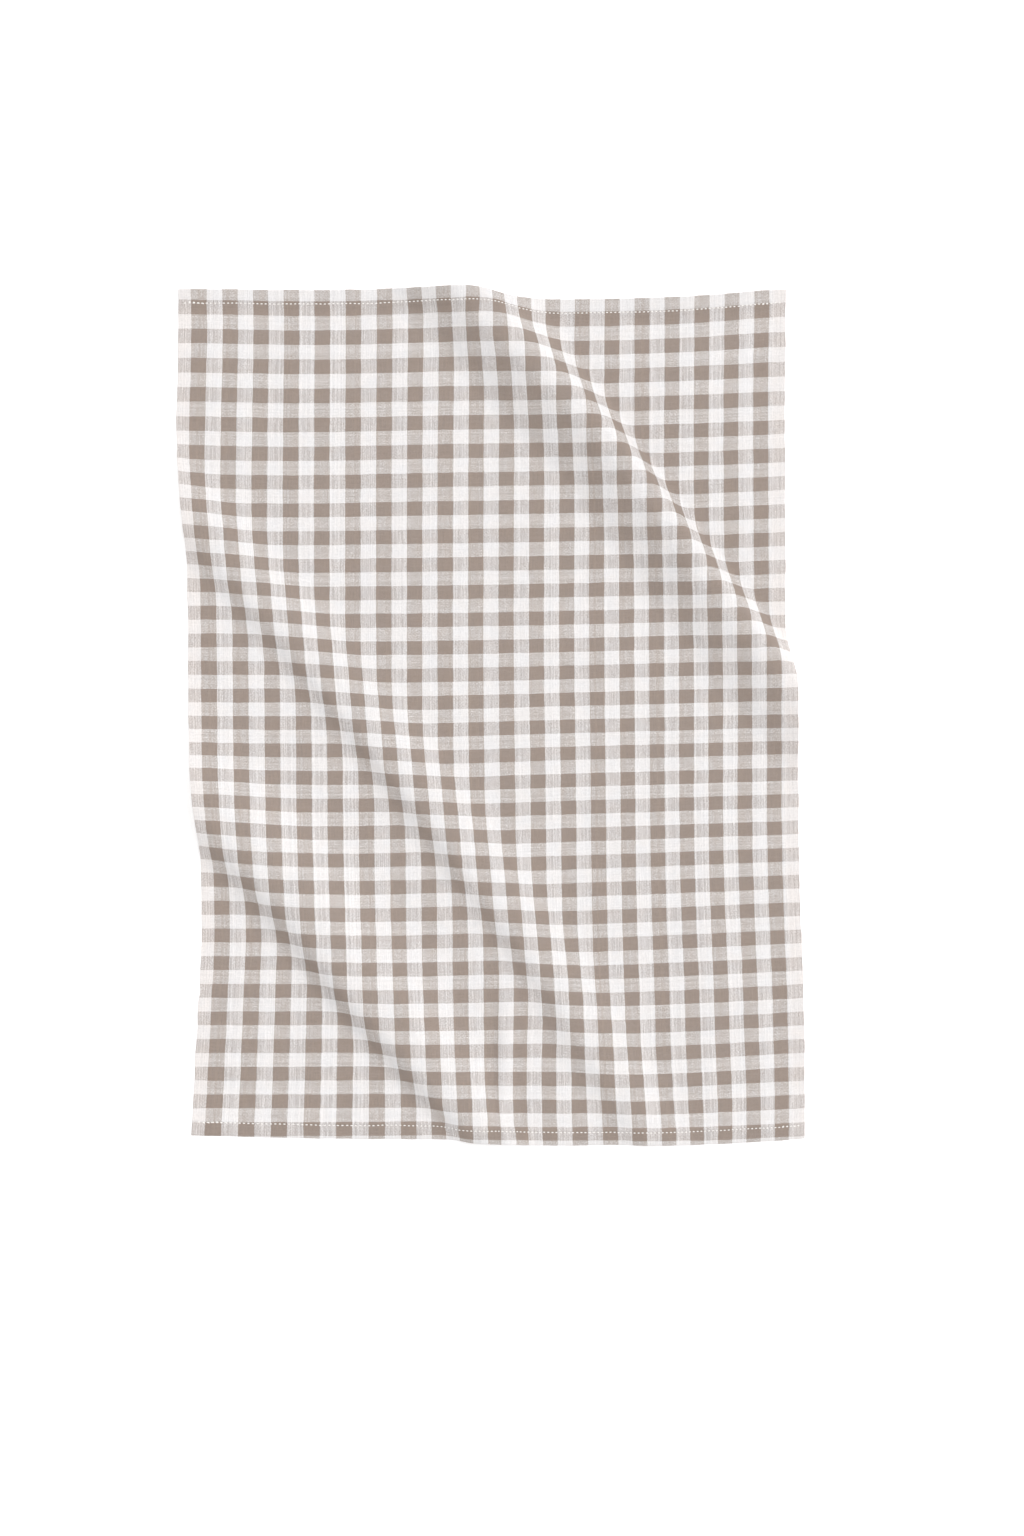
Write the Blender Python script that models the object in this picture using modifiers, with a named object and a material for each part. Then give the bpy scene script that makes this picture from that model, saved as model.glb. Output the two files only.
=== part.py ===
"""Tea towel: one checked cotton cloth of 500 x 700 mm, laid out flat with soft folds in it."""

from collections import namedtuple

import bpy
import numpy as np

# Sizes are in millimetres and become metres where the cloth is built. On the flat cloth,
# "across" runs from left to right and "along" from the bottom edge to the top edge, both
# measured from the middle. The cloth lies in the XY plane with +Z up.
METRES = 0.001
WIDTH = 500.0
LENGTH = 700.0
CLOTH_THICKNESS = 1.0
HEM_THICKNESS = 1.8
HEM_DEPTH = 11.0
HEM_STEP = 1.0

# The cells of the sheet: each end has one row for its hem and one for the step beside it.
# All points less than this many rows from an end belong to its hem.
COLUMNS = 40
ROWS = 59
HEM_ROWS = 1.5

# The hems are not quite square to the weave: the top one is turned deeper at its left end,
# and the bottom one at both ends, most at the left.
TOP_SLANT = 1.0
BOTTOM_DROP = 1.0
BOTTOM_BOW = 3.3
BOTTOM_BOW_SHIFT = 0.4

# The cloth is not quite even either: it is fuller on its left side, wider and longer at its
# top and drawn in along its length, its rows rise and sag, and one corner is pulled out.
# The fullness at the top starts some way above the middle and grows along a curve.
LEFT_FULLNESS = 5.5
TOP_SPREAD = 3.0
LENGTH_LOSS = 4.0
TOP_FULLNESS = 6.0
TOP_FULLNESS_START = 0.3
TOP_FULLNESS_CURVE = 1.5
ROW_RISE = 4.0
ROW_SAG = 2.4
CORNER_PULL = 10.0
CORNER_REACH = 160.0

# A fold is a ridge. Its stations follow the crest from the upper left to the lower right.
# They give the place of the crest on the flat cloth, its height above the table, the length
# of cloth that rises to it and falls from it, and how much the weave draws together across
# it. The peaks tell after what share of the rise and of the fall the slope is steepest. A
# firmness over 1 keeps the slope steepest for a part of its length. The last two numbers
# tell how far before and behind the crest the weave draws together.
Station = namedtuple("Station", "across along height rise fall gather")
Fold = namedtuple("Fold", "name rise_peak fall_peak firmness gather_before gather_behind stations")
FOLDS = (
    Fold("upper right", 0.62, 0.5, 1.6, 0, 40, (
        Station(-26, 350, 16, 54, 72, 10),
        Station(36, 293, 20, 62, 50, 7),
        Station(106, 218, 20, 64, 34, 3),
        Station(175, 122, 17, 62, 33, 5),
        Station(256, 13, 14, 60, 40, 9),
    )),
    Fold("middle", 0.62, 0.4, 1.0, 40, 50, (
        Station(-277, 207, 8, 42, 56, 9),
        Station(-168, 75, 10, 42, 58, 9),
        Station(-56, -73, 11, 42, 58, 9),
        Station(40, -214, 9, 42, 56, 9),
        Station(127, -358, 5, 38, 48, 4),
    )),
    Fold("lower left", 0.5, 0.4, 1.0, 30, 24, (
        Station(-262, -56, 15, 52, 78, 6),
        Station(-188, -133, 17, 50, 80, 4),
        Station(-114, -230, 16, 46, 78, 3),
        Station(-16, -350, 11, 36, 40, 2),
    )),
    Fold("pressed crease", 0.5, 0.5, 1.0, 0, 12, (
        Station(-1, -190, 0, 12, 12, 0),
        Station(-2, -255, 3, 12, 12, 0),
        Station(-3, -352, 3, 12, 12, 0),
    )),
)

# Places where the flat cloth is softly pulled to one side or up, how far, and how widely.
Pull = namedtuple("Pull", "across along right up reach")
PULLS = (
    Pull(-245, 330, 3.5, 2.0, 80),
    Pull(-30, 335, 1.0, 2.2, 60),
    Pull(245, 335, 0.5, 2.8, 50),
    Pull(60, -85, 1.2, 2.6, 120),
    Pull(-230, -70, 0.0, 2.4, 50),
    Pull(150, -320, 2.4, -1.8, 100),
    Pull(250, -130, -2.8, 0.0, 120),
    Pull(50, -310, -2.4, -1.8, 55),
    Pull(-160, 215, 0.0, -1.5, 80),
    Pull(190, -100, 0.0, 1.2, 80),
    Pull(8, 322, -3.0, 0.5, 28),
)

# Steps used to add up the way along a slope, and the steepest slope ever needed, in radians.
SLOPE_STEPS = 24
STEEPEST = 1.7
ANGLES_TRIED = 80

FABRIC_COLOUR = (0.60, 0.54, 0.50, 1.0)
FABRIC_ROUGHNESS = 0.9


def remove_all_objects():
    for old in list(bpy.data.objects):
        bpy.data.objects.remove(old, do_unlink=True)


def through(places, values, place):
    """A smooth curve through the values at the stations' places, level beyond its ends."""
    slopes = np.gradient(values, places)
    left = np.clip(np.searchsorted(places, place) - 1, 0, len(places) - 2)
    right = left + 1
    span = places[right] - places[left]
    part = np.clip((place - places[left]) / span, 0.0, 1.0)
    blend = part * part * (3.0 - 2.0 * part)
    bend_left = span * slopes[left] * part * (1.0 - part) ** 2
    bend_right = span * slopes[right] * part * part * (part - 1.0)
    return values[left] * (1.0 - blend) + values[right] * blend + bend_left + bend_right


def ease(part):
    """0 up to the start and 1 from the end on, with a smooth way between."""
    part = np.clip(part, 0.0, 1.0)
    return part * part * (3.0 - 2.0 * part)


def walk_slope(part, steepest, peak, firmness):
    """Level run and climb after a part of one slope, both as shares of its whole length.

    The slope starts and ends level and is steepest at its peak, so the length of the cloth
    is kept: the run gets shorter where the cloth climbs."""
    middles = (np.arange(SLOPE_STEPS) + 0.5) / SLOPE_STEPS
    along = part[..., None] * middles
    towards_peak = np.minimum(along / peak, (1.0 - along) / (1.0 - peak))
    angle = steepest[..., None] * ease(firmness * towards_peak)
    run = part * np.cos(angle).mean(axis=-1)
    climb = part * np.sin(angle).mean(axis=-1)
    return run, climb


def steepest_angle(climb_share, peak, firmness):
    """The steepest angle of a slope that climbs this share of its own length."""
    angles = np.linspace(0.0, STEEPEST, ANGLES_TRIED)
    climbs = walk_slope(np.ones_like(angles), angles, peak, firmness)[1]
    return np.interp(climb_share, climbs, angles)


def fold_shift(fold, across, along):
    """How far one fold draws in and lifts each point of the flat cloth."""
    table = np.array(fold.stations, dtype=float)
    crest = table[:, :2] - table[0, :2]
    forward = crest[-1] / np.hypot(*crest[-1])
    outward = np.array((-forward[1], forward[0]))
    places = crest @ forward
    place = (across - table[0, 0]) * forward[0] + (along - table[0, 1]) * forward[1]
    offset = (across - table[0, 0]) * outward[0] + (along - table[0, 1]) * outward[1]
    from_crest = offset - through(places, crest @ outward, place)
    height = through(places, table[:, 2], place)
    rise = through(places, table[:, 3], place)
    fall = through(places, table[:, 4], place)
    gather = through(places, table[:, 5], place)
    up = np.clip(1.0 + from_crest / rise, 0.0, 1.0)
    down = np.clip(from_crest / fall, 0.0, 1.0)
    steepest_rise = steepest_angle(height / rise, fold.rise_peak, fold.firmness)
    steepest_fall = steepest_angle(height / fall, fold.fall_peak, fold.firmness)
    up_run, up_climb = walk_slope(up, steepest_rise, fold.rise_peak, fold.firmness)
    down_run, down_drop = walk_slope(down, steepest_fall, fold.fall_peak, fold.firmness)
    drawn_in = rise * (up - up_run) + fall * (down - down_run)
    gathered = (from_crest + fold.gather_before) / (fold.gather_before + fold.gather_behind)
    drawn_in = drawn_in + gather * ease(gathered)
    lift = np.where(down < 1.0, rise * up_climb - fall * down_drop, 0.0)
    return -drawn_in * outward[0], -drawn_in * outward[1], lift


def lay_out(across, along):
    """Points of the flat cloth as they lie on the table, folds and all."""
    side = across / (WIDTH / 2)
    end = along / (LENGTH / 2)
    left_part = np.clip(1.0 - (WIDTH / 2 + across) / CORNER_REACH, 0.0, 1.0)
    bottom_part = np.clip(1.0 - (LENGTH / 2 + along) / CORNER_REACH, 0.0, 1.0)
    x = across - LEFT_FULLNESS * side ** 2 + TOP_SPREAD * side * end
    x = x - CORNER_PULL * left_part * bottom_part
    top_part = np.clip((end - TOP_FULLNESS_START) / (1.0 - TOP_FULLNESS_START), 0.0, 1.0)
    y = along - LENGTH_LOSS * end + TOP_FULLNESS * top_part ** TOP_FULLNESS_CURVE
    y = y + ROW_RISE * side + ROW_SAG * side ** 2
    for pull in PULLS:
        away = ((across - pull.across) ** 2 + (along - pull.along) ** 2) / pull.reach ** 2
        x = x + pull.right * np.exp(-away)
        y = y + pull.up * np.exp(-away)
    z = np.zeros_like(across)
    for fold in FOLDS:
        shift_x, shift_y, lift = fold_shift(fold, across, along)
        x = x + shift_x
        y = y + shift_y
        z = z + lift
    middle_x = (x.min() + x.max()) / 2
    middle_y = (y.min() + y.max()) / 2
    return np.column_stack((x - middle_x, y - middle_y, np.maximum(z, 0.0)))


def row_place(share, across):
    """Where a row lies along the cloth, for its share of the length from the middle out."""
    row = 1.0 / ROWS
    shares = (0.0, 0.5 - 2 * row, 0.5 - row, 0.5)
    hem_line = 1.0 - HEM_DEPTH / (LENGTH / 2)
    places = (0.0, hem_line - HEM_STEP / (LENGTH / 2), hem_line, 1.0)
    side = across / (WIDTH / 2)
    top = LENGTH / 2 + TOP_SLANT * side
    bottom = -LENGTH / 2 - BOTTOM_DROP + BOTTOM_BOW * side * (side - BOTTOM_BOW_SHIFT)
    return np.interp(np.abs(share), shares, places) * np.where(share > 0.0, top, bottom)


def fabric_material():
    material = bpy.data.materials.new("checked_cotton")
    material.use_nodes = True
    surface = material.node_tree.nodes["Principled BSDF"]
    surface.inputs["Base Color"].default_value = FABRIC_COLOUR
    surface.inputs["Roughness"].default_value = FABRIC_ROUGHNESS
    surface.inputs["Metallic"].default_value = 0.0
    return material


def build_cloth(collection):
    """A grid laid out with the folds, thickened upward and thicker at its two hems."""
    bpy.ops.mesh.primitive_grid_add(x_subdivisions=COLUMNS, y_subdivisions=ROWS, size=1.0)
    cloth = bpy.context.object
    cloth.name = "towel_cloth"
    mesh = cloth.data
    flat = np.empty(len(mesh.vertices) * 3)
    mesh.vertices.foreach_get("co", flat)
    flat = flat.reshape(-1, 3)
    across = flat[:, 0] * WIDTH
    along = row_place(flat[:, 1], across)
    laid = lay_out(across, along) * METRES
    mesh.vertices.foreach_set("co", laid.ravel())
    mesh.materials.append(fabric_material())
    mesh.shade_smooth()

    in_hem = np.flatnonzero(np.abs(flat[:, 1]) > 0.5 - HEM_ROWS / ROWS)
    hems = cloth.vertex_groups.new(name="hems")
    hems.add(in_hem.tolist(), 1.0, "REPLACE")
    split = cloth.modifiers.new("diagonals_along_the_folds", "TRIANGULATE")
    split.quad_method = "FIXED_ALTERNATE"
    thicken = cloth.modifiers.new("thickness", "SOLIDIFY")
    thicken.thickness = HEM_THICKNESS * METRES
    thicken.offset = 1.0
    thicken.vertex_group = hems.name
    thicken.thickness_vertex_group = CLOTH_THICKNESS / HEM_THICKNESS

    for owner in list(cloth.users_collection):
        owner.objects.unlink(cloth)
    collection.objects.link(cloth)


def main():
    remove_all_objects()
    collection = bpy.data.collections.new("tea_towel")
    bpy.context.scene.collection.children.link(collection)
    build_cloth(collection)


main()
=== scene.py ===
"""How the tea towel looks: its checked weave, folds, hems and stitches, on a pale floor."""

import math
from collections import namedtuple

import bpy
import numpy as np
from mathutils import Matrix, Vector


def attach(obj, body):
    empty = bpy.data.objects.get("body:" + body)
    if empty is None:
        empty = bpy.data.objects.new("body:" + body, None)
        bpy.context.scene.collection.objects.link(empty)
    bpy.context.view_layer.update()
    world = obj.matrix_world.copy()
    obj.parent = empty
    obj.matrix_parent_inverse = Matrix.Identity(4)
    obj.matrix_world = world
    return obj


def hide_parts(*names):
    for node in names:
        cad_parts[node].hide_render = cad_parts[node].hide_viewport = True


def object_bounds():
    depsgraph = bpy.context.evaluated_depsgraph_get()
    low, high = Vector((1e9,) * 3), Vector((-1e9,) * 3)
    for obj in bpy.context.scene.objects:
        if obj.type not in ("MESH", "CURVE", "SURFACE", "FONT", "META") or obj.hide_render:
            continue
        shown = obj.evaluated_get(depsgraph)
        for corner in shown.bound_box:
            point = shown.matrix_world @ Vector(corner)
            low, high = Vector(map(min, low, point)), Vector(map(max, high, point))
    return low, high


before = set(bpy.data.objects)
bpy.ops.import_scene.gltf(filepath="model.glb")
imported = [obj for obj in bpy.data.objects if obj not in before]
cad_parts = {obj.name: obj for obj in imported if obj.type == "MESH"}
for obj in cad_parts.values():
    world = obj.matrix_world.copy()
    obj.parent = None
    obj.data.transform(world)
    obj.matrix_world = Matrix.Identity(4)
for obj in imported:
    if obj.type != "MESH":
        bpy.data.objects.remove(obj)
CAD_LOW, CAD_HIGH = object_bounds()

# Sizes are in millimetres and become metres where a mesh is made. On the flat cloth, "across"
# runs from left to right and "along" from the bottom edge to the top edge, both measured from
# the middle. The cloth lies in the XY plane with +Z up, on the folds of its solid.
METRES = 0.001
WIDTH = 500.0
LENGTH = 700.0
CLOTH_THICKNESS = 0.6
HEM_THICKNESS = 1.6
HEM_DEPTH = 12.0
HEM_SLOPE = 4.2
SELVEDGE_ROUNDING = 0.35

# Distances of the first rows from a hemmed edge, close together where the hem bends, and of
# the first columns from a selvedge. The rows and columns between them are evenly spaced.
HEM_ROWS = (0.0, 0.12, 0.35, 0.8, 2.2, 4.4, 6.6, 8.8, 10.2, 10.7, 11.1, 11.5, 11.98,
            12.1, 13.2, 14.6, 16.4)
BAND_ROWS = HEM_ROWS.index(11.98)
MIDDLE_ROWS = 226
SELVEDGE_COLUMNS = (0.0, 0.1, 0.3, 0.9)
MIDDLE_COLUMNS = 176

# The hems are not quite square to the weave.
TOP_SLANT = 1.0
BOTTOM_DROP = 1.0
BOTTOM_BOW = 3.3
BOTTOM_BOW_SHIFT = 0.4

# The cloth is not quite even either: it is fuller on its left side, wider and longer at its
# top and drawn in along its length, its rows rise and sag, and one corner is pulled out.
LEFT_FULLNESS = 5.5
TOP_SPREAD = 3.0
LENGTH_LOSS = 4.0
TOP_FULLNESS = 6.0
TOP_FULLNESS_START = 0.3
TOP_FULLNESS_CURVE = 1.5
ROW_RISE = 4.0
ROW_SAG = 2.4
CORNER_PULL = 10.0
CORNER_REACH = 160.0

# The sides and the hemmed edges wobble finely, and the cloth swells a little all over. Each is
# a sum of waves, with its size and the lengths of the shortest and the longest. The wobble of a
# side fades inwards over its reach.
WAVES_ADDED = 12
SIDE_WOBBLE = 0.35
SIDE_WOBBLE_LENGTHS = (14.0, 60.0)
SIDE_WOBBLE_REACH = 12.0
END_WOBBLE = 0.22
END_WOBBLE_LENGTHS = (9.0, 45.0)
SWELL = 0.22
SWELL_LENGTHS = (34.0, 95.0)

# A fold is a ridge. Its stations follow the crest from the upper left to the lower right.
# They give the place of the crest on the flat cloth, its height above the table, the length
# of cloth that rises to it and falls from it, and how much the weave draws together across
# it. The peaks tell after what share of the rise and of the fall the slope is steepest. A
# firmness over 1 keeps the slope steepest for a part of its length. The last two numbers
# tell how far before and behind the crest the weave draws together.
Station = namedtuple("Station", "across along height rise fall gather")
Fold = namedtuple("Fold", "name rise_peak fall_peak firmness gather_before gather_behind stations")
FOLDS = (
    Fold("upper right", 0.62, 0.5, 1.6, 0, 40, (
        Station(-26, 350, 16, 54, 72, 10),
        Station(36, 293, 20, 62, 50, 7),
        Station(106, 218, 20, 64, 34, 3),
        Station(175, 122, 17, 62, 33, 5),
        Station(256, 13, 14, 60, 40, 9),
    )),
    Fold("middle", 0.62, 0.4, 1.0, 40, 50, (
        Station(-277, 207, 8, 42, 56, 9),
        Station(-168, 75, 10, 42, 58, 9),
        Station(-56, -73, 11, 42, 58, 9),
        Station(40, -214, 9, 42, 56, 9),
        Station(127, -358, 5, 38, 48, 4),
    )),
    Fold("lower left", 0.5, 0.4, 1.0, 30, 24, (
        Station(-262, -56, 15, 52, 78, 6),
        Station(-188, -133, 17, 50, 80, 4),
        Station(-114, -230, 16, 46, 78, 3),
        Station(-16, -350, 11, 36, 40, 2),
    )),
    Fold("pressed crease", 0.5, 0.5, 1.0, 0, 12, (
        Station(-1, -190, 0, 12, 12, 0),
        Station(-2, -255, 3, 12, 12, 0),
        Station(-3, -352, 3, 12, 12, 0),
    )),
)

# Places where the flat cloth is softly pulled to one side or up, how far, and how widely.
Pull = namedtuple("Pull", "across along right up reach")
PULLS = (
    Pull(-245, 330, 3.5, 2.0, 80),
    Pull(-30, 335, 1.0, 2.2, 60),
    Pull(245, 335, 0.5, 2.8, 50),
    Pull(60, -85, 1.2, 2.6, 120),
    Pull(-230, -70, 0.0, 2.4, 50),
    Pull(150, -320, 2.4, -1.8, 100),
    Pull(250, -130, -2.8, 0.0, 120),
    Pull(50, -310, -2.4, -1.8, 55),
    Pull(-160, 215, 0.0, -1.5, 80),
    Pull(190, -100, 0.0, 1.2, 80),
    Pull(8, 322, -3.0, 0.5, 28),
)

# Creases too small for the solid: low ridges that run in from the sides, and one side that is
# drawn in where a crease starts.
CREASES = (
    Fold("left crease", 0.5, 0.5, 1.0, 0, 6, (
        Station(-256, -230, 0.7, 5, 7, 0),
        Station(-190, -232, 0.6, 5, 7, 0),
        Station(-135, -233, 0, 5, 7, 0),
    )),
    Fold("right crease", 0.5, 0.5, 1.0, 0, 6, (
        Station(70, 78, 0, 6, 6, 0),
        Station(140, 80, 0.5, 6, 6, 0),
        Station(212, 83, 0, 6, 6, 0),
    )),
)
CREASE_PULLS = (
    Pull(-253, -229, 1.8, 0.0, 5),
    Pull(-253, -240, -0.7, 0.0, 6),
)

# Steps used to add up the way along a slope, the steepest slope ever needed, in radians, how
# many slopes up to it are tried, and the distance over which the cloth's direction is taken.
SLOPE_STEPS = 24
STEEPEST = 1.7
ANGLES_TRIED = 80
DIRECTION_STEP = 0.4

# The seam of each hem: its depth from the edge, its stitches, and how far from the selvedge it
# starts. It wanders a little, and its stitches are not quite evenly spaced or quite in line.
STITCH_DEPTH = 11.1
STITCH_PITCH = 3.35
STITCH_LENGTH = 2.0
SEAM_START = 3.5
SEAM_WANDER = 0.3
SEAM_WANDER_LENGTHS = (60.0, 180.0)
SPACING_ERROR = 0.08
TILT_ERROR = 0.05
STITCH_SEED = 23

# The seam runs back over its own start and end for a few stitches, on a slant. Tilts and slants
# are in radians.
BACK_STITCHES = 4
BACK_START = 9.0
BACK_RISE = 0.5
BACK_STEP = 0.3
BACK_SLANT_LEFT = 0.35
BACK_SLANT_RIGHT = 0.15

# The stitches pull the hem tight in a groove, and the cloth puckers beside them. The puckers
# grow over a short way from the edge.
GROOVE = 0.34
GROOVE_REACH = 0.5
PUCKER = 0.13
PUCKER_REACH = 5.0
PUCKER_START = 3.0
PUCKER_LENGTHS = (8.0, 20.0)

# The thread is wider than it is high. A stitch arches out of the face between ends that sink
# into it, and is pressed flatter on the underside.
STITCH_WIDTH = 0.95
FACE_ARCH = 0.42
FACE_SINK = 0.22
FACE_HALF_HEIGHT = 0.3
UNDER_ARCH = 0.1
UNDER_HALF_HEIGHT = 0.14
ARCH_POWER = 0.7
TAPER_START = 0.45
END_TAPER = 0.6
THREAD_POINTS = 7
THREAD_SIDES = 8

# How deep the line between the turned layers is at the ends of the hems, and how far past the
# hem its layers still darken the cloth.
HEM_END_RECESS = 0.3
LAYERS_MARGIN = 0.5

# The map for baking shows the upper face in its left half and the underside in its right.
BAKE_MARGIN = 0.005
BAKE_WIDTH = 0.49
BAKE_HALF = 0.5
BAKE_SPARE_LENGTH = 8.0

# The weave: yarns in one repeat of the check, how long the repeat is, and where it starts. The
# last yarns of the right side are white.
WARP_REPEAT = 24.41
WEFT_REPEAT = 22.53
WARP_YARNS = 44
WEFT_YARNS = 38
FIRST_WARP_STRIPE = -233.9
FIRST_WEFT_STRIPE = 334.7
WHITE_SIDE = 245.0
WARP_WHITE = (0.820, 0.798, 0.794, 1.0)
WEFT_WHITE = (0.818, 0.797, 0.797, 1.0)
WARP_TAUPE = (0.325, 0.261, 0.217, 1.0)
WEFT_TAUPE = (0.332, 0.276, 0.250, 1.0)

# Yarns wander from their places by parts of a yarn, over wide and over fine distances.
WIDE_WANDER = 1.6
WIDE_WANDER_SIZE = 17.0
FINE_WANDER = 0.5
FINE_WANDER_SIZE = 3.0

# The length of the thick and thin places along a yarn, how unlike those of the next yarn they
# are, and what tells the random numbers of warp yarns from those of weft yarns.
WARP_SLUB_LENGTH = 9.0
WEFT_SLUB_LENGTH = 6.0
WARP_SLUB_STEP = 3.7
WEFT_SLUB_STEP = 5.3
WARP_SALT = 0.5
WEFT_SALT = 4000.5

# How far the warp covers the weft, and how much that varies with the mottle of the cloth, from
# yarn to yarn and along a yarn.
WARP_COVER = 0.074
MOTTLE_COVER = 0.75
MOTTLE_WIDTH = 0.9
MOTTLE_LENGTH = 1.1
WARP_YARN_COVER = 0.30
WEFT_YARN_COVER = -0.14
WARP_SLUB_COVER = 0.22
WEFT_SLUB_COVER = -0.16

# How much the tone varies from yarn to yarn, and along a yarn.
WARP_YARN_TONE = 0.15
WARP_SLUB_TONE = 0.34
WEFT_YARN_TONE = 0.10
WEFT_SLUB_TONE = 0.30

# Painted shade in the gaps between yarns, where the yarns shade each other, and the shades of the
# layers behind a hem, of broad patches and of grain.
GAP_PAINTED_SHADE_REACH = 0.22
GAP_PAINTED_SHADE = 0.94
GAP_PAINTED_SHADE_RANGE = 0.12
LAYERS_SHADE = -0.035
BROAD_SIZE = 45.0
BROAD_CONTRAST = 0.04
GRAIN_WIDTH = 0.9
GRAIN_LENGTH = 1.3
GRAIN_CONTRAST = 0.24

# Patches of the cloth are a little warmer or cooler, and its two sides are creamier.
TINT_SIZE = 14.0
TINT_START = 0.3
TINT_END = 0.7
WARM_TINT = (1.008, 0.999, 0.990, 1.0)
COOL_TINT = (0.996, 1.000, 1.004, 1.0)
NO_TINT = (1.0, 1.0, 1.0, 1.0)
SIDE_TINT = (1.0, 0.980, 0.965, 1.0)
SIDE_TINT_START = 236.0
SIDE_TINT_END = 242.0

# The finish of the cloth. Each yarn is a low round rib.
CLOTH_ROUGHNESS = 0.92
CLOTH_SPECULAR = 0.2
CLOTH_SHEEN = 0.12
CLOTH_SHEEN_ROUGHNESS = 0.5
YARN_ROUNDNESS = 0.6
YARN_HEIGHT = 0.12
YARN_BUMP = 0.5

# The finish of the sewing thread. The scale of its fibres is per metre.
THREAD_SHADE = (0.86, 0.83, 0.79, 1.0)
THREAD_LIGHT = (0.97, 0.95, 0.92, 1.0)
THREAD_ROUGHNESS = 0.6
THREAD_SHEEN = 0.1
FIBRE_SCALE = 2500.0
FIBRE_HEIGHT = 0.1
FIBRE_BUMP = 0.4

# The floor's size is in metres. It lies just under the cloth, and glows a little: painted light
# that washes out the shadows on it.
FLOOR_SIDES = 96
FLOOR_RADIUS = 9.0
FLOOR_HEIGHT = -0.0002
FLOOR_COLOUR = (0.95, 0.95, 0.95, 1.0)
FLOOR_ROUGHNESS = 0.9
FLOOR_SPECULAR = 0.1
FLOOR_PAINTED_GLOW = 0.35

# The light on the floor from all round and from the key light. Angles are in degrees.
AMBIENT = 0.79
KEY_SHARE = 0.37
KEY_HEADING = 38.0
KEY_ELEVATION = 50.0
KEY_ANGLE = 30.0
WHITE_LIGHT = (1.0, 1.0, 1.0, 1.0)

# The camera looks straight down over this point, and its field is this long at the table.
CAMERA_OVER = (17.3, -41.0)
CAMERA_HEIGHT = 2100.0
FIELD_LENGTH = 1236.7
SENSOR = 36.0


def through(places, values, place):
    """A smooth curve through the values at the stations' places, level beyond its ends."""
    slopes = np.gradient(values, places)
    left = np.clip(np.searchsorted(places, place) - 1, 0, len(places) - 2)
    right = left + 1
    span = places[right] - places[left]
    part = np.clip((place - places[left]) / span, 0.0, 1.0)
    blend = part * part * (3.0 - 2.0 * part)
    bend_left = span * slopes[left] * part * (1.0 - part) ** 2
    bend_right = span * slopes[right] * part * part * (part - 1.0)
    return values[left] * (1.0 - blend) + values[right] * blend + bend_left + bend_right


def ease(part):
    """0 up to the start and 1 from the end on, with a smooth way between."""
    part = np.clip(part, 0.0, 1.0)
    return part * part * (3.0 - 2.0 * part)


def walk_slope(part, steepest, peak, firmness):
    """Level run and climb after a part of one slope, both as shares of its whole length.

    The slope starts and ends level and is steepest at its peak, so the length of the cloth
    is kept: the run gets shorter where the cloth climbs."""
    middles = (np.arange(SLOPE_STEPS) + 0.5) / SLOPE_STEPS
    along = part[..., None] * middles
    towards_peak = np.minimum(along / peak, (1.0 - along) / (1.0 - peak))
    angle = steepest[..., None] * ease(firmness * towards_peak)
    run = part * np.cos(angle).mean(axis=-1)
    climb = part * np.sin(angle).mean(axis=-1)
    return run, climb


def steepest_angle(climb_share, peak, firmness):
    """The steepest angle of a slope that climbs this share of its own length."""
    angles = np.linspace(0.0, STEEPEST, ANGLES_TRIED)
    climbs = walk_slope(np.ones_like(angles), angles, peak, firmness)[1]
    return np.interp(climb_share, climbs, angles)


def fold_shift(fold, across, along):
    """How far one fold draws in and lifts each point of the flat cloth."""
    table = np.array(fold.stations, dtype=float)
    heights, rises, falls, gathers = table[:, 2:].T
    crest = table[:, :2] - table[0, :2]
    forward = crest[-1] / np.hypot(*crest[-1])
    outward = np.array((-forward[1], forward[0]))
    places = crest @ forward
    place = (across - table[0, 0]) * forward[0] + (along - table[0, 1]) * forward[1]
    offset = (across - table[0, 0]) * outward[0] + (along - table[0, 1]) * outward[1]
    from_crest = offset - through(places, crest @ outward, place)
    height = through(places, heights, place)
    rise = through(places, rises, place)
    fall = through(places, falls, place)
    gather = through(places, gathers, place)
    up = np.clip(1.0 + from_crest / rise, 0.0, 1.0)
    down = np.clip(from_crest / fall, 0.0, 1.0)
    steepest_rise = steepest_angle(height / rise, fold.rise_peak, fold.firmness)
    steepest_fall = steepest_angle(height / fall, fold.fall_peak, fold.firmness)
    up_run, up_climb = walk_slope(up, steepest_rise, fold.rise_peak, fold.firmness)
    down_run, down_drop = walk_slope(down, steepest_fall, fold.fall_peak, fold.firmness)
    drawn_in = rise * (up - up_run) + fall * (down - down_run)
    gathered = (from_crest + fold.gather_before) / (fold.gather_before + fold.gather_behind)
    drawn_in = drawn_in + gather * ease(gathered)
    lift = np.where(down < 1.0, rise * up_climb - fall * down_drop, 0.0)
    return -drawn_in * outward[0], -drawn_in * outward[1], lift


def waves(across, along, shortest, longest, seed):
    """Gentle seeded waves in all directions, about 1 high and low, with lengths in this range."""
    random = np.random.default_rng(seed)
    lengths = random.uniform(shortest, longest, WAVES_ADDED)
    headings = random.uniform(0.0, np.pi, WAVES_ADDED)
    phases = random.uniform(0.0, 2.0 * np.pi, WAVES_ADDED)
    total = np.zeros_like(across)
    for length, heading, phase in zip(lengths, headings, phases):
        way = across * np.cos(heading) + along * np.sin(heading)
        total = total + np.sin(2.0 * np.pi * way / length + phase)
    return total / np.sqrt(2.0 * WAVES_ADDED)


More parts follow.
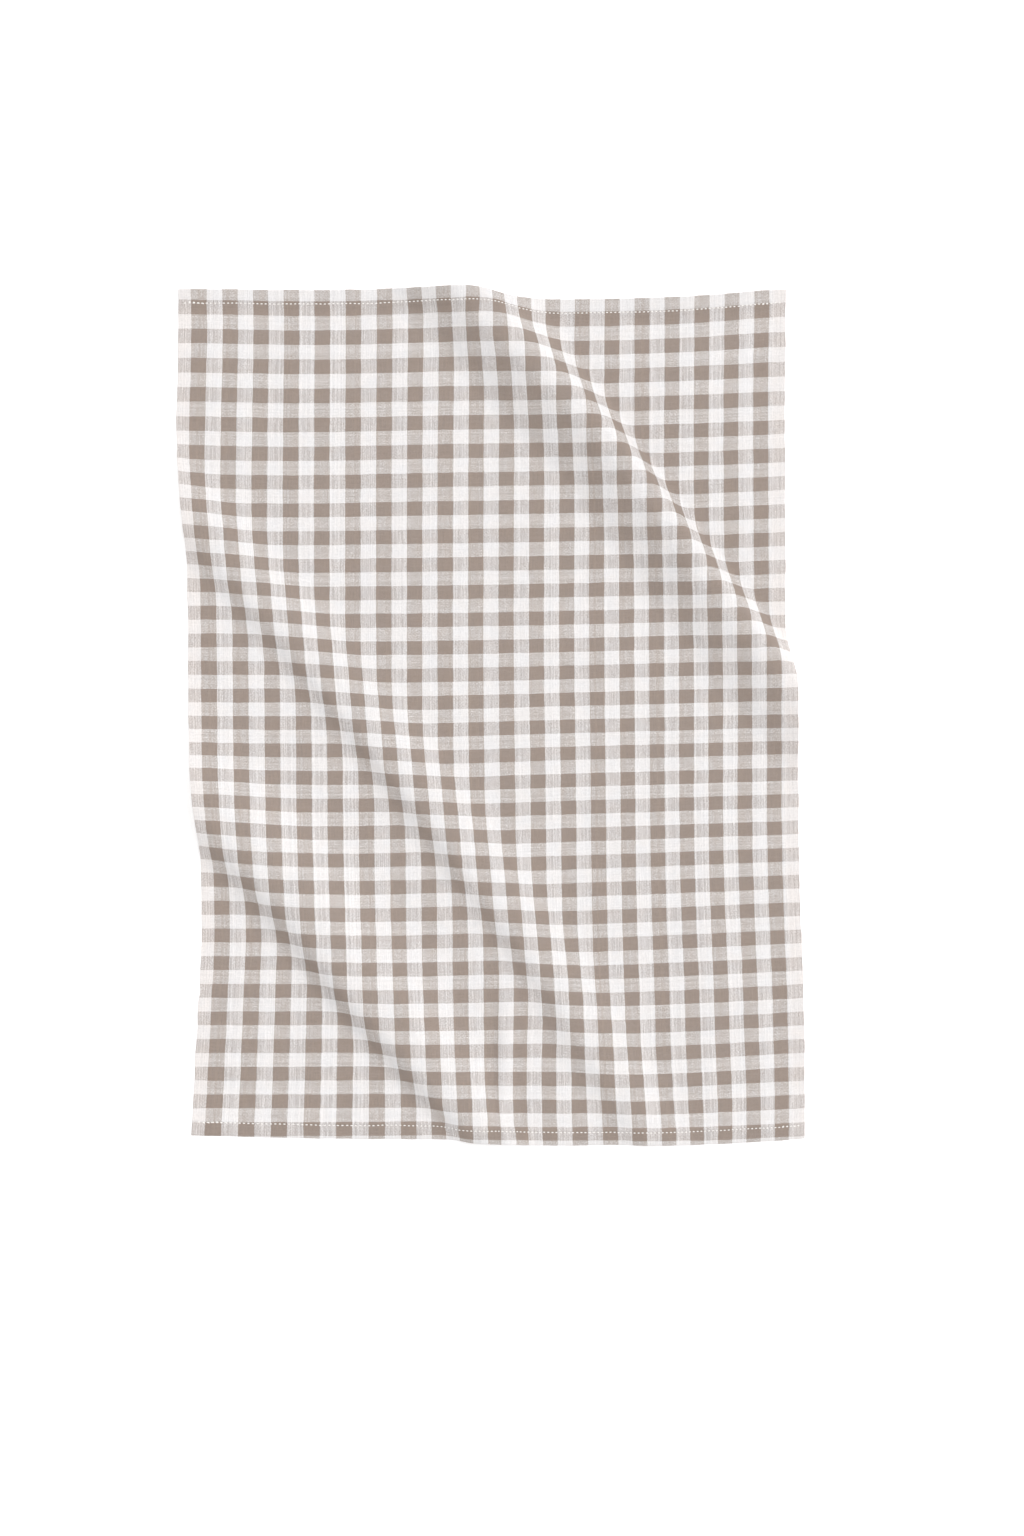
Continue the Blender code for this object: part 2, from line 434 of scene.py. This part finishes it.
def lay_out(across, along):
    """Points of the flat cloth's underside as they lie on the table, folds and all."""
    side = across / (WIDTH / 2)
    end = along / (LENGTH / 2)
    left_part = np.clip(1.0 - (WIDTH / 2 + across) / CORNER_REACH, 0.0, 1.0)
    bottom_part = np.clip(1.0 - (LENGTH / 2 + along) / CORNER_REACH, 0.0, 1.0)
    x = across - LEFT_FULLNESS * side ** 2 + TOP_SPREAD * side * end
    x = x - CORNER_PULL * left_part * bottom_part
    top_part = np.clip((end - TOP_FULLNESS_START) / (1.0 - TOP_FULLNESS_START), 0.0, 1.0)
    y = along - LENGTH_LOSS * end + TOP_FULLNESS * top_part ** TOP_FULLNESS_CURVE
    y = y + ROW_RISE * side + ROW_SAG * side ** 2
    for pull in PULLS + CREASE_PULLS:
        away = ((across - pull.across) ** 2 + (along - pull.along) ** 2) / pull.reach ** 2
        x = x + pull.right * np.exp(-away)
        y = y + pull.up * np.exp(-away)
    z = np.zeros_like(across)
    for fold in FOLDS + CREASES:
        shift_x, shift_y, lift = fold_shift(fold, across, along)
        x = x + shift_x
        y = y + shift_y
        z = z + lift
    near_side = np.exp(-(WIDTH / 2 - np.abs(across)) / SIDE_WOBBLE_REACH)
    x = x + SIDE_WOBBLE * near_side * waves(along, across, *SIDE_WOBBLE_LENGTHS, seed=3)
    swell = waves(across, along, *SWELL_LENGTHS, seed=5)
    z = np.maximum(z, 0.0) + SWELL * np.maximum(swell, 0.0)
    return np.stack((x, y, z), axis=-1)


def hem_edges(across):
    """Where the bottom and the top edge lie along the cloth."""
    side = across / (WIDTH / 2)
    top = LENGTH / 2 + TOP_SLANT * side
    bottom = -LENGTH / 2 - BOTTOM_DROP + BOTTOM_BOW * side * (side - BOTTOM_BOW_SHIFT)
    wobble = END_WOBBLE * waves(across, np.zeros_like(across), *END_WOBBLE_LENGTHS, seed=11)
    return bottom + wobble, top - wobble


def face_heights(from_hem, from_selvedge, across):
    """Heights of the lower and the upper face over the underside of a bare sheet.

    The turned hem lies under the cloth, which comes down to the table just beside it. Both
    faces meet in a rounded edge all round, and dip in where the stitches pull the hem tight."""
    come_down = ease((from_hem - HEM_DEPTH) / HEM_SLOPE)
    upper = HEM_THICKNESS - (HEM_THICKNESS - CLOTH_THICKNESS) * come_down
    beside_hem = from_hem > HEM_DEPTH
    lower = np.where(beside_hem, upper - CLOTH_THICKNESS, 0.0)
    groove = np.exp(-((from_hem - STITCH_DEPTH) / GROOVE_REACH) ** 2)
    pucker = np.exp(-((from_hem - STITCH_DEPTH) / PUCKER_REACH) ** 2)
    pucker = pucker * ease(from_hem / PUCKER_START)
    puckered = PUCKER * pucker * waves(across, across, *PUCKER_LENGTHS, seed=17)
    lower = lower + GROOVE * groove
    upper = upper - GROOVE * groove + puckered
    middle = (lower + upper) / 2
    half = (upper - lower) / 2
    hem_round = np.clip(from_hem / (HEM_THICKNESS / 2), 0.0, 1.0)
    side_round = np.clip(from_selvedge / SELVEDGE_ROUNDING, 0.0, 1.0)
    half = half * np.sqrt(1.0 - (1.0 - hem_round) ** 2) * np.sqrt(1.0 - (1.0 - side_round) ** 2)
    return middle - half, middle + half


def directions(across, along):
    """The direction out of the cloth's face at places on the flat cloth."""
    step = DIRECTION_STEP
    rightward = lay_out(across + step, along) - lay_out(across - step, along)
    upward = lay_out(across, along + step) - lay_out(across, along - step)
    out = np.cross(rightward, upward)
    return out / np.linalg.norm(out, axis=-1, keepdims=True)


def sheet_grid():
    """Places on the flat cloth of all rows and columns of the sheet, as two tables."""
    side = np.array(SELVEDGE_COLUMNS)
    between = np.linspace(side[-1], WIDTH - side[-1], MIDDLE_COLUMNS + 1)[1:-1]
    columns = np.concatenate((side, between, WIDTH - side[::-1])) - WIDTH / 2
    bottom, top = hem_edges(columns)
    hem = np.array(HEM_ROWS)[:, None]
    shares = np.linspace(0.0, 1.0, MIDDLE_ROWS + 1)[1:-1, None]
    first = bottom + HEM_ROWS[-1]
    last = top - HEM_ROWS[-1]
    along = np.vstack((bottom + hem, first + shares * (last - first), (top - hem)[::-1]))
    across = np.broadcast_to(columns, along.shape).copy()
    return across, along


def new_mesh_object(name, points, faces, material):
    """A smooth-shaded object of these points and faces, linked to the scene."""
    mesh = bpy.data.meshes.new(name)
    mesh.from_pydata(points, [], faces)
    mesh.materials.append(material)
    mesh.shade_smooth()
    mesh.update()
    piece = bpy.data.objects.new(name, mesh)
    bpy.context.scene.collection.objects.link(piece)
    return piece


def add_uv_map(mesh, name, corners):
    """A map with a place for each corner of each face."""
    layer = mesh.uv_layers.new(name=name, do_init=False)
    layer.data.foreach_set("uv", np.ascontiguousarray(corners, dtype=np.float32).ravel())


def build_sheet(material):
    """The cloth as one closed mesh: an upper and a lower face that meet all round the edge.

    The second result is the shift that brings it onto its solid."""
    across, along = sheet_grid()
    rows, columns = across.shape
    bottom, top = hem_edges(across)
    from_hem = np.minimum(along - bottom, top - along)
    from_selvedge = WIDTH / 2 - np.abs(across)
    lower, upper = face_heights(from_hem, from_selvedge, across)
    # The turned layers show at the ends of the hems as a fine line between them.
    in_hem = np.where(from_hem < HEM_DEPTH, HEM_END_RECESS, 0.0)
    recess = in_hem * (from_selvedge == 0.0) * np.sign(across)
    under = lay_out(across - recess, along)
    out = directions(across, along)
    upper_points = under + out * upper[..., None]
    lower_points = under + out * lower[..., None]

    upper_index = np.arange(rows * columns).reshape(rows, columns)
    lower_index = upper_index.copy()
    inner = (rows - 2) * (columns - 2)
    lower_index[1:-1, 1:-1] = rows * columns + np.arange(inner).reshape(rows - 2, columns - 2)
    points = np.concatenate((upper_points.reshape(-1, 3),
                             lower_points[1:-1, 1:-1].reshape(-1, 3)))

    row, column = np.meshgrid(np.arange(rows - 1), np.arange(columns - 1), indexing="ij")
    row = row.ravel()[:, None]
    column = column.ravel()[:, None]
    upper_rows = row + np.array((0, 0, 1, 1))
    upper_columns = column + np.array((0, 1, 1, 0))
    lower_rows = row + np.array((0, 1, 1, 0))
    lower_columns = column + np.array((0, 0, 1, 1))
    faces = np.concatenate((upper_index[upper_rows, upper_columns],
                            lower_index[lower_rows, lower_columns]))

    middle = (points.min(axis=0) + points.max(axis=0)) / 2
    cad_middle = (CAD_LOW + CAD_HIGH) / 2 / METRES
    shift = np.array((cad_middle.x - middle[0], cad_middle.y - middle[1], 0.0))
    towel = new_mesh_object("towel_sheet", (points + shift) * METRES, faces.tolist(), material)

    # On the underside, the turned hems carry on the weave past the edge of the cloth.
    turned_bottom = row < BAND_ROWS
    turned_top = row >= rows - 1 - BAND_ROWS
    upper_along = along[upper_rows, upper_columns]
    lower_along = along[lower_rows, lower_columns]
    past_bottom = 2 * bottom[lower_rows, lower_columns] - lower_along
    past_top = 2 * top[lower_rows, lower_columns] - lower_along
    turned_along = np.where(turned_bottom, past_bottom, lower_along)
    turned_along = np.where(turned_top, past_top, turned_along)
    weave_across = np.concatenate((across[upper_rows, upper_columns],
                                   across[lower_rows, lower_columns]))
    weave_along = np.concatenate((upper_along, turned_along))
    add_uv_map(towel.data, "cloth", np.stack((weave_across, weave_along), axis=-1) * METRES)

    share_across = weave_across / WIDTH + 0.5
    plain_along = np.concatenate((upper_along, lower_along))
    share_along = plain_along / (LENGTH + BAKE_SPARE_LENGTH) + 0.5
    is_lower = np.repeat((0.0, 1.0), len(upper_rows))[:, None]
    bake_across = BAKE_MARGIN + BAKE_WIDTH * share_across + BAKE_HALF * is_lower
    add_uv_map(towel.data, "OFBake", np.stack((bake_across, share_along), axis=-1))

    layers = (from_hem < HEM_DEPTH + LAYERS_MARGIN).astype(np.float32)
    values = np.concatenate((layers.ravel(), layers[1:-1, 1:-1].ravel()))
    attribute = towel.data.attributes.new("hem_layers", "FLOAT", "POINT")
    attribute.data.foreach_set("value", values)
    return towel, shift


def stitch_places():
    """Places across, depths, tilts and hems of all the stitches."""
    random = np.random.default_rng(STITCH_SEED)
    rows = []
    for is_top in (False, True):
        count = int((WIDTH - 2 * SEAM_START) / STITCH_PITCH)
        across = -WIDTH / 2 + SEAM_START + STITCH_PITCH * (np.arange(count) + 0.5)
        across = across + random.normal(0.0, SPACING_ERROR, count)
        wander = waves(across, across, *SEAM_WANDER_LENGTHS, seed=29 + is_top)
        depth = STITCH_DEPTH + SEAM_WANDER * wander
        tilt = random.normal(0.0, TILT_ERROR, count)
        rows.append((across, depth, tilt, np.full(count, is_top)))
        for side, slant in ((-1.0, BACK_SLANT_LEFT), (1.0, BACK_SLANT_RIGHT)):
            steps = np.arange(BACK_STITCHES)
            back = side * (WIDTH / 2 - BACK_START - STITCH_PITCH * steps)
            back_depth = STITCH_DEPTH - BACK_RISE + BACK_STEP * steps
            back_tilt = np.full(BACK_STITCHES, side * slant)
            rows.append((back, back_depth, back_tilt, np.full(BACK_STITCHES, is_top)))
    return [np.concatenate(parts) for parts in zip(*rows)]


def build_stitches(material, shift):
    """Every stitch of both hems, on the face and on the underside, as short arched threads."""
    across, depth, tilt, is_top = stitch_places()
    share = np.linspace(-0.5, 0.5, THREAD_POINTS)
    way = share * STITCH_LENGTH
    point_across = across[:, None] + way * np.cos(tilt)[:, None]
    bottom, top = hem_edges(point_across)
    sign = np.where(is_top, -1.0, 1.0)[:, None]
    edge = np.where(is_top[:, None], top, bottom)
    point_along = edge + sign * depth[:, None] + way * np.sin(tilt)[:, None]
    from_hem = np.abs(point_along - edge)
    from_selvedge = WIDTH / 2 - np.abs(point_across)
    lower, upper = face_heights(from_hem, from_selvedge, point_across)
    under = lay_out(point_across, point_along)
    out = directions(point_across, point_along)
    arch = np.cos(np.pi * share) ** ARCH_POWER
    parts = []
    for height, bulge, half_height in (
            (upper, FACE_ARCH * arch - FACE_SINK, FACE_HALF_HEIGHT),
            (lower, UNDER_ARCH - UNDER_ARCH * arch, UNDER_HALF_HEIGHT)):
        line = under + out * (height + bulge)[..., None]
        forward = np.gradient(line, axis=1)
        forward = forward / np.linalg.norm(forward, axis=-1, keepdims=True)
        sideways = np.cross(out, forward)
        turns = np.linspace(0.0, 2.0 * np.pi, THREAD_SIDES, endpoint=False)
        taper = np.where(np.abs(share) > TAPER_START, END_TAPER, 1.0)[None, :, None, None]
        ring = (STITCH_WIDTH / 2 * np.cos(turns)[:, None] * sideways[:, :, None, :]
                + half_height * np.sin(turns)[:, None] * out[:, :, None, :])
        parts.append(line[:, :, None, :] + taper * ring)
    tubes = np.concatenate(parts)
    first = np.arange(len(tubes)) * THREAD_POINTS * THREAD_SIDES
    near_ring = first[:, None, None] + np.arange(THREAD_POINTS - 1)[None, :, None] * THREAD_SIDES
    far_ring = near_ring + THREAD_SIDES
    turn = np.arange(THREAD_SIDES)
    following = (turn + 1) % THREAD_SIDES
    walls = np.stack((near_ring + turn, near_ring + following,
                      far_ring + following, far_ring + turn), axis=-1)
    starts = first[:, None] + turn[::-1]
    ends = first[:, None] + (THREAD_POINTS - 1) * THREAD_SIDES + turn
    faces = walls.reshape(-1, 4).tolist() + starts.tolist() + ends.tolist()
    points = (tubes.reshape(-1, 3) + shift) * METRES
    return new_mesh_object("hem_stitches", points, faces, material)


class Shader:
    """The nodes of one new material, with a short call for each kind of node in it."""

    def __init__(self, name):
        self.material = bpy.data.materials.new(name)
        self.material.use_nodes = True
        self.nodes = self.material.node_tree.nodes
        self.links = self.material.node_tree.links
        self.surface = self.nodes["Principled BSDF"]

    def feed(self, socket, value):
        """Links a node's output into a socket, or sets a plain value on it."""
        if isinstance(value, bpy.types.NodeSocket):
            self.links.new(value, socket)
        else:
            socket.default_value = value

    def add(self, kind, *values, **settings):
        """A new node with these settings, fed in the order of its inputs."""
        node = self.nodes.new(kind)
        for setting, value in settings.items():
            setattr(node, setting, value)
        for socket, value in zip(node.inputs, values):
            self.feed(socket, value)
        return node

    def math(self, operation, *values):
        """The result of one sum on numbers or outputs."""
        return self.add("ShaderNodeMath", *values, operation=operation).outputs[0]

    def noise(self, x, y, detail=2.0):
        """Smooth noise from 0 to 1 at a place, with bumps about one unit wide."""
        place = self.add("ShaderNodeCombineXYZ", x, y).outputs[0]
        node = self.add("ShaderNodeTexNoise", noise_dimensions="2D")
        self.feed(node.inputs["Vector"], place)
        self.feed(node.inputs["Scale"], 1.0)
        self.feed(node.inputs["Detail"], detail)
        return node.outputs["Fac"]

    def patches(self, x, x_size, y, y_size, detail=2.0):
        """Smooth noise from 0 to 1, in patches of about these sizes."""
        return self.noise(self.math("DIVIDE", x, x_size), self.math("DIVIDE", y, y_size), detail)

    def random(self, number, salt):
        """A fixed random number from 0 to 1 for each whole number."""
        salted = self.math("ADD", number, salt)
        node = self.add("ShaderNodeTexWhiteNoise", noise_dimensions="1D")
        self.feed(node.inputs["W"], salted)
        return node.outputs["Value"]

    def blend(self, share, first, second):
        """A colour between the first at a share of 0 and the second at a share of 1."""
        node = self.add("ShaderNodeMix", data_type="RGBA")
        self.feed(node.inputs[0], share)
        self.feed(node.inputs[6], first)
        self.feed(node.inputs[7], second)
        return node.outputs[2]

    def scale_colour(self, colour, factor):
        """A colour made lighter or darker by a factor."""
        node = self.add("ShaderNodeVectorMath", colour, operation="SCALE")
        self.feed(node.inputs["Scale"], factor)
        return node.outputs[0]

    def spread(self, value, middle, amount):
        """A number about a middle that varies by an amount as the value goes from 0 to 1."""
        return self.math("MULTIPLY_ADD", value, amount, middle - amount / 2)

    def tint(self, colour, by):
        """One colour multiplied by another."""
        return self.add("ShaderNodeVectorMath", colour, by, operation="MULTIPLY").outputs[0]

    def rise(self, value, start, end):
        """0 up to the start and 1 from the end on, with a smooth way between."""
        node = self.add("ShaderNodeMapRange", value, start, end, interpolation_type="SMOOTHSTEP")
        return node.outputs[0]


def weave_material():
    """Plain weave of single yarns: white and taupe stripes of warp, crossed by the same of weft."""
    cloth = Shader("checked_cotton")
    place = cloth.add("ShaderNodeUVMap", uv_map="cloth").outputs[0]
    parts = cloth.add("ShaderNodeSeparateXYZ", place)
    across = cloth.math("DIVIDE", parts.outputs[0], METRES)
    along = cloth.math("DIVIDE", parts.outputs[1], METRES)

    # No yarn runs quite straight.
    wide = cloth.patches(across, WIDE_WANDER_SIZE, along, WIDE_WANDER_SIZE)
    fine = cloth.patches(across, FINE_WANDER_SIZE, along, FINE_WANDER_SIZE)
    wander_warp = cloth.math("ADD", cloth.spread(wide, 0.0, WIDE_WANDER),
                             cloth.spread(fine, 0.0, FINE_WANDER))
    wide = cloth.patches(along, WIDE_WANDER_SIZE, across, WIDE_WANDER_SIZE)
    fine = cloth.patches(along, FINE_WANDER_SIZE, across, FINE_WANDER_SIZE)
    wander_weft = cloth.math("ADD", cloth.spread(wide, 0.0, WIDE_WANDER),
                             cloth.spread(fine, 0.0, FINE_WANDER))
    warp_pitch = WARP_REPEAT / WARP_YARNS
    weft_pitch = WEFT_REPEAT / WEFT_YARNS
    warp_count = cloth.math("MULTIPLY_ADD", across, 1.0 / warp_pitch,
                            -FIRST_WARP_STRIPE / warp_pitch)
    warp_count = cloth.math("ADD", warp_count, wander_warp)
    weft_count = cloth.math("MULTIPLY_ADD", along, 1.0 / weft_pitch,
                            -FIRST_WEFT_STRIPE / weft_pitch)
    weft_count = cloth.math("ADD", weft_count, wander_weft)
    warp_yarn = cloth.math("FLOOR", warp_count)
    weft_yarn = cloth.math("FLOOR", weft_count)

    # A stripe is half of its repeat wide, and ends between two yarns.
    from_stripe = cloth.math("PINGPONG", warp_count, WARP_YARNS / 2)
    warp_taupe = cloth.math("LESS_THAN", from_stripe, WARP_YARNS / 4)
    before_side = cloth.math("LESS_THAN", across, WHITE_SIDE)
    warp_taupe = cloth.math("MULTIPLY", warp_taupe, before_side)
    from_stripe = cloth.math("PINGPONG", weft_count, WEFT_YARNS / 2)
    weft_taupe = cloth.math("LESS_THAN", from_stripe, WEFT_YARNS / 4)

    # Warp and weft take turns on the face. The thicker yarn covers more of the other.
    warp_wave = cloth.math("SINE", cloth.math("MULTIPLY", warp_count, math.pi))
    weft_wave = cloth.math("SINE", cloth.math("MULTIPLY", weft_count, math.pi))
    crossing = cloth.math("MULTIPLY", warp_wave, weft_wave)
    warp_random = cloth.random(warp_yarn, WARP_SALT)
    weft_random = cloth.random(weft_yarn, WEFT_SALT)
    warp_slub = cloth.noise(cloth.math("MULTIPLY", warp_yarn, WARP_SLUB_STEP),
                            cloth.math("DIVIDE", along, WARP_SLUB_LENGTH))
    weft_slub = cloth.noise(cloth.math("MULTIPLY", weft_yarn, WEFT_SLUB_STEP),
                            cloth.math("DIVIDE", across, WEFT_SLUB_LENGTH))
    mottle = cloth.patches(across, MOTTLE_WIDTH, along, MOTTLE_LENGTH, detail=1.0)
    cover = cloth.spread(mottle, WARP_COVER, MOTTLE_COVER)
    for variation, amount in ((warp_random, WARP_YARN_COVER), (weft_random, WEFT_YARN_COVER),
                              (warp_slub, WARP_SLUB_COVER), (weft_slub, WEFT_SLUB_COVER)):
        cover = cloth.math("ADD", cover, cloth.spread(variation, 0.0, amount))
    warp_on_top = cloth.math("GREATER_THAN", cloth.math("ADD", crossing, cover), 0.0)

    # Each yarn has its own tone, which changes a little along it.
    warp_tone = cloth.math("MULTIPLY", cloth.spread(warp_random, 1.0, WARP_YARN_TONE),
                           cloth.spread(warp_slub, 1.0, WARP_SLUB_TONE))
    weft_tone = cloth.math("MULTIPLY", cloth.spread(weft_random, 1.0, WEFT_YARN_TONE),
                           cloth.spread(weft_slub, 1.0, WEFT_SLUB_TONE))
    warp_colour = cloth.scale_colour(cloth.blend(warp_taupe, WARP_WHITE, WARP_TAUPE), warp_tone)
    weft_colour = cloth.scale_colour(cloth.blend(weft_taupe, WEFT_WHITE, WEFT_TAUPE), weft_tone)
    colour = cloth.blend(warp_on_top, weft_colour, warp_colour)

    # Painted shade darkens the small gaps between the yarns, and hems are darker for the layers
    # behind them.
    rib = cloth.math("ABSOLUTE", crossing)
    # Painted shade: the colour is darker where the yarns meet, as if they shaded each other.
    gap_painted_shade = cloth.spread(cloth.rise(rib, 0.0, GAP_PAINTED_SHADE_REACH), GAP_PAINTED_SHADE, GAP_PAINTED_SHADE_RANGE)
    layers = cloth.add("ShaderNodeAttribute", attribute_name="hem_layers").outputs["Fac"]
    tone_and_painted_shade = cloth.math("MULTIPLY", gap_painted_shade, cloth.math("MULTIPLY_ADD", layers, LAYERS_SHADE, 1.0))
    broad = cloth.patches(across, BROAD_SIZE, along, BROAD_SIZE)
    tone_and_painted_shade = cloth.math("MULTIPLY", tone_and_painted_shade, cloth.spread(broad, 1.0, BROAD_CONTRAST))
    grain = cloth.patches(across, GRAIN_WIDTH, along, GRAIN_LENGTH)
    tone_and_painted_shade = cloth.math("MULTIPLY", tone_and_painted_shade, cloth.spread(grain, 1.0, GRAIN_CONTRAST))
    colour = cloth.scale_colour(colour, tone_and_painted_shade)
    warmth = cloth.rise(cloth.patches(along, TINT_SIZE, across, TINT_SIZE), TINT_START, TINT_END)
    patch_tint = cloth.blend(warmth, WARM_TINT, COOL_TINT)
    from_middle = cloth.math("ABSOLUTE", across)
    near_side = cloth.rise(from_middle, SIDE_TINT_START, SIDE_TINT_END)
    cream = cloth.blend(near_side, NO_TINT, SIDE_TINT)
    tinted = cloth.tint(colour, cloth.tint(patch_tint, cream))

    bump = cloth.add("ShaderNodeBump")
    cloth.feed(bump.inputs["Strength"], YARN_BUMP)
    cloth.feed(bump.inputs["Distance"], YARN_HEIGHT * METRES)
    cloth.feed(bump.inputs["Height"], cloth.math("POWER", rib, YARN_ROUNDNESS))
    cloth.feed(cloth.surface.inputs["Base Color"], tinted)
    cloth.feed(cloth.surface.inputs["Normal"], bump.outputs[0])
    cloth.feed(cloth.surface.inputs["Roughness"], CLOTH_ROUGHNESS)
    cloth.feed(cloth.surface.inputs["Specular IOR Level"], CLOTH_SPECULAR)
    cloth.feed(cloth.surface.inputs["Sheen Weight"], CLOTH_SHEEN)
    cloth.feed(cloth.surface.inputs["Sheen Roughness"], CLOTH_SHEEN_ROUGHNESS)
    return cloth.material


def thread_material():
    """Cream sewing thread, twisted from fine fibres."""
    thread = Shader("sewing_thread")
    place = thread.add("ShaderNodeTexCoord").outputs["Object"]
    fibres = thread.add("ShaderNodeTexNoise")
    thread.feed(fibres.inputs["Vector"], place)
    thread.feed(fibres.inputs["Scale"], FIBRE_SCALE)
    colour = thread.blend(fibres.outputs["Fac"], THREAD_SHADE, THREAD_LIGHT)
    bump = thread.add("ShaderNodeBump")
    thread.feed(bump.inputs["Strength"], FIBRE_BUMP)
    thread.feed(bump.inputs["Distance"], FIBRE_HEIGHT * METRES)
    thread.feed(bump.inputs["Height"], fibres.outputs["Fac"])
    thread.feed(thread.surface.inputs["Base Color"], colour)
    thread.feed(thread.surface.inputs["Normal"], bump.outputs[0])
    thread.feed(thread.surface.inputs["Roughness"], THREAD_ROUGHNESS)
    thread.feed(thread.surface.inputs["Sheen Weight"], THREAD_SHEEN)
    return thread.material


def build_floor():
    """A wide plain floor just under the cloth, with a faint glow of painted light that washes out
    its shadows.
    """
    bpy.ops.mesh.primitive_circle_add(vertices=FLOOR_SIDES, radius=FLOOR_RADIUS, fill_type="NGON",
                                      location=(0.0, 0.0, FLOOR_HEIGHT))
    floor = bpy.context.object
    floor.name = "floor"
    paint = Shader("pale_floor")
    paint.feed(paint.surface.inputs["Base Color"], FLOOR_COLOUR)
    paint.feed(paint.surface.inputs["Roughness"], FLOOR_ROUGHNESS)
    paint.feed(paint.surface.inputs["Specular IOR Level"], FLOOR_SPECULAR)
    # The floor glows a little: painted light that washes out the shadows of the cloth on it.
    paint.feed(paint.surface.inputs["Emission Color"], WHITE_LIGHT)
    paint.feed(paint.surface.inputs["Emission Strength"], FLOOR_PAINTED_GLOW)
    floor.data.materials.append(paint.material)


def light_scene():
    """Even light from all round, and a soft key light from the upper right."""
    scene = bpy.context.scene
    world = bpy.data.worlds.new("studio")
    world.use_nodes = True
    background = world.node_tree.nodes["Background"]
    background.inputs["Color"].default_value = WHITE_LIGHT
    background.inputs["Strength"].default_value = AMBIENT
    scene.world = world
    heading = math.radians(KEY_HEADING)
    elevation = math.radians(KEY_ELEVATION)
    towards = Vector((math.cos(heading) * math.cos(elevation),
                      math.sin(heading) * math.cos(elevation),
                      math.sin(elevation)))
    sun = bpy.data.lights.new("key", "SUN")
    sun.energy = KEY_SHARE * math.pi / math.sin(elevation)
    sun.angle = math.radians(KEY_ANGLE)
    key = bpy.data.objects.new("key", sun)
    key.rotation_mode = "QUATERNION"
    key.rotation_quaternion = towards.to_track_quat("Z", "Y")
    scene.collection.objects.link(key)
    scene.view_settings.view_transform = "Standard"


def place_camera():
    """Straight above the cloth, with its long side up the picture."""
    camera = bpy.data.cameras.new("camera")
    camera.sensor_width = SENSOR
    camera.lens = SENSOR * CAMERA_HEIGHT / FIELD_LENGTH
    viewer = bpy.data.objects.new("camera", camera)
    middle = (CAD_LOW + CAD_HIGH) / 2
    viewer.location = (middle.x + CAMERA_OVER[0] * METRES,
                       middle.y + CAMERA_OVER[1] * METRES,
                       CAD_LOW.z + CAMERA_HEIGHT * METRES)
    bpy.context.scene.collection.objects.link(viewer)
    bpy.context.scene.camera = viewer


place_camera()
light_scene()
build_floor()
towel, shift = build_sheet(weave_material())
stitches = build_stitches(thread_material(), shift)
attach(towel, "root")
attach(stitches, "root")
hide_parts("towel_cloth")
